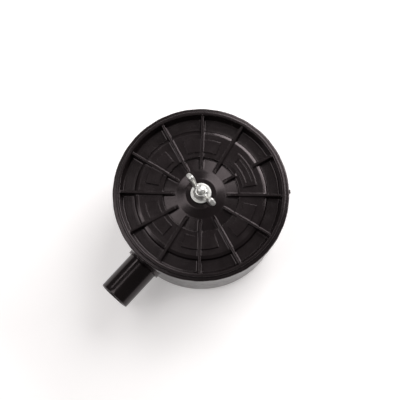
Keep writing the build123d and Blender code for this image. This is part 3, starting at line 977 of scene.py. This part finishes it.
make_gasket()
for end in ("top", "bottom"):
    make_element_seal(end)
for end in ("top", "bottom"):
    make_end_cap(end)
make_foam("foam_wrap", "foam_sleeve", "filter_element", SLEEVE_FOAM, 0.8, 0.30)
make_foam("foam_lining", "silencing_liner", "drum", LINER_FOAM, 1.2, 0.45)


# ------------------------------------------------------- paper, guard and screen
PLEATS, STEPS_A_PLEAT, PLEAT_ROWS = 48, 16, 14
PLEAT_DEPTH = 14.4
PAPER_THICK = 0.45


def pleated_sheet():
    """Points on the middle of the folded paper, row by row from the bottom."""
    low, high = span("pleated_paper")
    outer = high[0] - 0.5
    inner = outer - PLEAT_DEPTH
    around = PLEATS * STEPS_A_PLEAT
    sheet = []
    for i in range(PLEAT_ROWS + 1):
        z = mix(low[2] + 0.1, high[2] - 0.1, i / PLEAT_ROWS)
        bow = math.sin(math.pi * i / PLEAT_ROWS)
        for j in range(around):
            fold, step = divmod(j, STEPS_A_PLEAT)
            wave = 0.97 * math.cos(2 * math.pi * step / STEPS_A_PLEAT)
            share = 0.5 + math.asin(wave) / math.pi
            lean = 0.010 * bow * wobble(fold * 3.1, z, 0, 22.0, 9.0)
            sag = 0.25 * bow * (1 + wobble(fold * 5.3, z, 1, 14.0))
            angle = 2 * math.pi * j / around + lean * share
            sheet.append(polar(mix(inner, outer, share) - sag, angle, z))
    return sheet


def make_pleats():
    """A folded sheet of paper: rounded folds that lean and bow a little, glued into both caps."""
    sheet = pleated_sheet()
    around = PLEATS * STEPS_A_PLEAT
    vertices = []
    for side in (1, -1):
        for i in range(PLEAT_ROWS + 1):
            for j in range(around):
                x, y, z = sheet[i * around + j]
                last_x, last_y, _ = sheet[i * around + (j - 1) % around]
                next_x, next_y, _ = sheet[i * around + (j + 1) % around]
                along = Vector((next_x - last_x, next_y - last_y))
                along.normalize()
                lift = side * PAPER_THICK / 2
                vertices.append((x + lift * along.y, y - lift * along.x, z))
    half = (PLEAT_ROWS + 1) * around
    skin = grid_faces(PLEAT_ROWS + 1, around, close_rows=False)
    faces = skin + [[n + half for n in face][::-1] for face in skin]
    for row in (0, PLEAT_ROWS):
        for j in range(around):
            here, beside = row * around + j, row * around + (j + 1) % around
            edge = [here, beside, half + beside, half + here]
            faces.append(edge if row else edge[::-1])
    paper = outward(vertices, faces)
    add_piece("pleated_element", paper, FILTER_PAPER, "filter_element", ["pleated_paper"])


GUARD_COLUMNS, GUARD_ROWS = 54, 10
STRAND = 0.42             # half width of a strand
STRAND_LIFT = 0.38        # half thickness of a strand
STRAND_TWIST = 0.1
END_BAND = 0.16           # height of the plain band at each end, in cells
# corners and side middles of a diamond opening, in shares of its half size
DIAMOND = ((1, 0), (0.5, 0.5), (0, 1), (-0.5, 0.5), (-1, 0), (-0.5, -0.5), (0, -1), (0.5, -0.5))


def make_guard():
    """Expanded metal: a lattice of diamond openings between slightly twisted strands."""
    low, high = span("guard_mesh")
    radius = high[0] - 0.4
    cell_wide, cell_tall = 2 * math.pi / GUARD_COLUMNS, (high[2] - low[2]) / GUARD_ROWS
    inner_u = 0.5 - STRAND / (cell_wide * radius) * 1.15
    inner_v = 0.5 - STRAND / cell_tall

    def place(u, v, lift):
        """A point on the guard, counted in cells round it and up it."""
        height = low[2] + 0.05 + v * (high[2] - low[2] - 0.1) / GUARD_ROWS
        return polar(radius + lift, u * cell_wide, height)

    def opening(centre_u, centre_v):
        """Outside, inside and rim of the half strands round one opening."""
        vertices, faces = [], []
        for lift in (STRAND_LIFT, -STRAND_LIFT):
            for share_u, share_v, twist in ((0.5, 0.5, 0.0), (inner_u, inner_v, STRAND_TWIST)):
                for du, dv in DIAMOND:
                    u, v = centre_u + du * share_u, centre_v + dv * share_v
                    vertices.append(place(u, v, lift * 0.95 + twist * dv))
        for k in range(8):
            m = (k + 1) % 8
            faces.append([k, m, 8 + m, 8 + k])
            faces.append([16 + k, 24 + k, 24 + m, 16 + m])
            faces.append([8 + k, 8 + m, 24 + m, 24 + k])
        return vertices, faces

    def band(v0, v1):
        """Plain ring between two heights, counted in cells."""
        loop = 4 * GUARD_COLUMNS
        vertices = []
        for lift, v in ((STRAND_LIFT, v0), (STRAND_LIFT, v1), (-STRAND_LIFT, v1), (-STRAND_LIFT, v0)):
            vertices += [place(k / 4, v, lift) for k in range(loop)]
        return vertices, grid_faces(4, loop)

    shapes = []
    for row in range(2 * GUARD_ROWS - 1):
        for column in range(GUARD_COLUMNS):
            shapes.append(opening(column + (0.5 if row % 2 else 0.0), 0.5 + row * 0.5))
    shapes += [band(0.0, END_BAND), band(GUARD_ROWS - END_BAND, GUARD_ROWS)]
    lattice = joined(*shapes)
    guard = add_piece("guard_lattice", lattice, WIRE, "filter_element", ["guard_mesh"])
    weld = guard.modifiers.new("weld", "WELD")
    weld.merge_threshold = 0.02 * MM
    bake(guard)


SCREEN_WIDTH = 16.9       # from the screen's hole to its outer edge
CLOTH_PITCH = 1.7
CLOTH_WIRE_R = 0.14
CLOTH_WAVE = 0.13         # how far a wire swings over and under those it crosses
EDGE_RING = 0.35          # half width of the rolled edge rings


def wire_run(points, radius, sides=8):
    """A tube along a chain of points, capped at both ends."""
    vertices = []
    for i, point in enumerate(points):
        ahead = Vector(points[min(i + 1, len(points) - 1)]) - Vector(points[max(i - 1, 0)])
        ahead.normalize()
        across = ahead.cross(Vector((0, 0, 1))).normalized()
        over = across.cross(ahead)
        for step in range(sides):
            a = 2 * math.pi * step / sides
            sideways, up = across * (radius * math.cos(a)), over * (radius * math.sin(a))
            vertices.append(tuple(Vector(point) + sideways + up))
    return vertices, tube_faces(len(points), sides)


def make_screen():
    """Plain-weave wire cloth between two rolled edge rings."""
    low, high = span("intake_screen")
    outer, middle_z = high[0], (low[2] + high[2]) / 2
    inner = outer - SCREEN_WIDTH
    shapes = []
    count = int(outer / CLOTH_PITCH)
    for line in range(-count, count + 1):
        level = (line + 0.5) * CLOTH_PITCH
        if abs(level) >= outer - 0.6:
            continue
        reach = math.sqrt((outer - EDGE_RING) ** 2 - level ** 2)
        hole = math.sqrt(max((inner + EDGE_RING) ** 2 - level ** 2, 0.0))
        for start, end in ([(-reach, reach)] if hole == 0 else [(-reach, -hole), (hole, reach)]):
            steps = max(4, round((end - start) / (CLOTH_PITCH / 4)))
            for warp in (0, 1):
                swing = CLOTH_WAVE * (-1) ** (line + warp)
                points = []
                for i in range(steps + 1):
                    along = mix(start, end, i / steps)
                    z = middle_z + swing * math.cos(math.pi * along / CLOTH_PITCH - math.pi / 2)
                    points.append((along, level, z) if warp == 0 else (level, along, z))
                shapes.append(wire_run(points, CLOTH_WIRE_R))
    for edge_r in (inner + EDGE_RING, outer - EDGE_RING):
        sides, levels = (edge_r - EDGE_RING, edge_r + EDGE_RING), (low[2] + 0.01, high[2] - 0.01)
        shapes.append(lathe(ring_profile(*sides, *levels, 0.25, 1.0), 120))
    add_piece("intake_wire_cloth", joined(*shapes), WIRE, "drum", ["intake_screen"])


make_pleats()
make_guard()
make_screen()


# ------------------------------------------------------- CAD nodes that stay on
KEPT = {
    "canister_body": DRUM_PLASTIC,
    "rod_insert": BRASS,
    "inner_cage": CAGE_PLASTIC,
}
for node, material in KEPT.items():
    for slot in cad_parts[node].material_slots:
        slot.material = material


# ------------------------------------------------------- floor, light, camera
WARM_WHITE = (1.0, 0.975, 0.97, 1)
FLOOR_HALF = 6.0
FLOOR_GLOW = 0.315
WORLD_STRENGTH = 0.16

CAMERA_TILT = 12.2        # degrees from the rod's axis, towards the view's lower edge
CAMERA_DISTANCE = 1022.0
CAMERA_LENS = 108.9
AIM_RIGHT, AIM_UP = -0.75, -5.95    # aim point from the rim's centre, in the view's plane


def view_direction(view_degrees, from_vertical):
    """Unit vector leaning from the vertical towards an angle in the view's plane."""
    a = VIEW_RIGHT + math.radians(view_degrees)
    tilt = math.radians(from_vertical)
    return Vector((math.sin(tilt) * math.cos(a), math.sin(tilt) * math.sin(a), math.cos(tilt)))


def make_floor():
    """A pale table top that glows faintly, as if lit evenly from all round."""
    mesh = bpy.data.meshes.new("floor")
    corners = [(x * FLOOR_HALF, y * FLOOR_HALF, 0) for x, y in ((-1, -1), (1, -1), (1, 1), (-1, 1))]
    mesh.from_pydata(corners, [], [(0, 1, 2, 3)])
    floor = bpy.data.objects.new("floor", mesh)
    bpy.context.scene.collection.objects.link(floor)
    s = Surface("pale_floor", (0.90, 0.875, 0.87), 0.6)
    s.tint(s.ramp(s.noise(300, 3), 0.4, 0.7, 0, 0.3), (0.88, 0.855, 0.85))
    s.shader.inputs["Emission Color"].default_value = WARM_WHITE
    s.shader.inputs["Emission Strength"].default_value = FLOOR_GLOW
    mesh.materials.append(s.finish())


def make_softbox(name, view_degrees, from_vertical, distance, size, power):
    """A rectangular light that faces the shared frame's origin, in metres and watts."""
    light = bpy.data.lights.new(name, "AREA")
    light.shape = "RECTANGLE"
    light.size, light.size_y = size
    light.energy = power
    lamp = bpy.data.objects.new(name, light)
    bpy.context.scene.collection.objects.link(lamp)
    direction = view_direction(view_degrees, from_vertical)
    lamp.location = direction * distance
    lamp.rotation_euler = direction.to_track_quat("Z", "Y").to_euler()


def make_camera():
    camera = bpy.data.objects.new("camera", bpy.data.cameras.new("camera"))
    bpy.context.scene.collection.objects.link(camera)
    camera.data.lens = CAMERA_LENS
    camera.data.sensor_width = 36.0
    camera.data.clip_end = 20.0
    away = view_direction(270, CAMERA_TILT)
    right = Vector((math.cos(VIEW_RIGHT), math.sin(VIEW_RIGHT), 0))
    up = away.cross(right)
    aim = Vector((0, 0, RIM_TOP)) + right * AIM_RIGHT + up * AIM_UP
    place = Matrix.Translation((aim + away * CAMERA_DISTANCE) * MM)
    camera.matrix_world = place @ Matrix((right, up, away)).transposed().to_4x4()
    bpy.context.scene.camera = camera


def make_world():
    world = bpy.data.worlds.new("studio")
    world.use_nodes = True
    background = world.node_tree.nodes["Background"]
    background.inputs["Color"].default_value = WARM_WHITE
    background.inputs["Strength"].default_value = WORLD_STRENGTH
    bpy.context.scene.world = world
    bpy.context.scene.view_settings.view_transform = "Standard"


make_floor()
make_softbox("key_softbox", 42, 62, 1.3, (1.7, 0.36), 17.0)
make_softbox("high_softbox", 55, 37, 1.3, (0.75, 0.60), 5.5)
make_softbox("left_softbox", 178, 25, 1.4, (0.6, 0.75), 4.0)
make_softbox("low_left_softbox", 194, 48, 1.3, (0.50, 0.20), 1.5)
make_softbox("strip_softbox", 125, 48, 1.3, (0.5, 0.18), 1.2)
make_camera()
make_world()
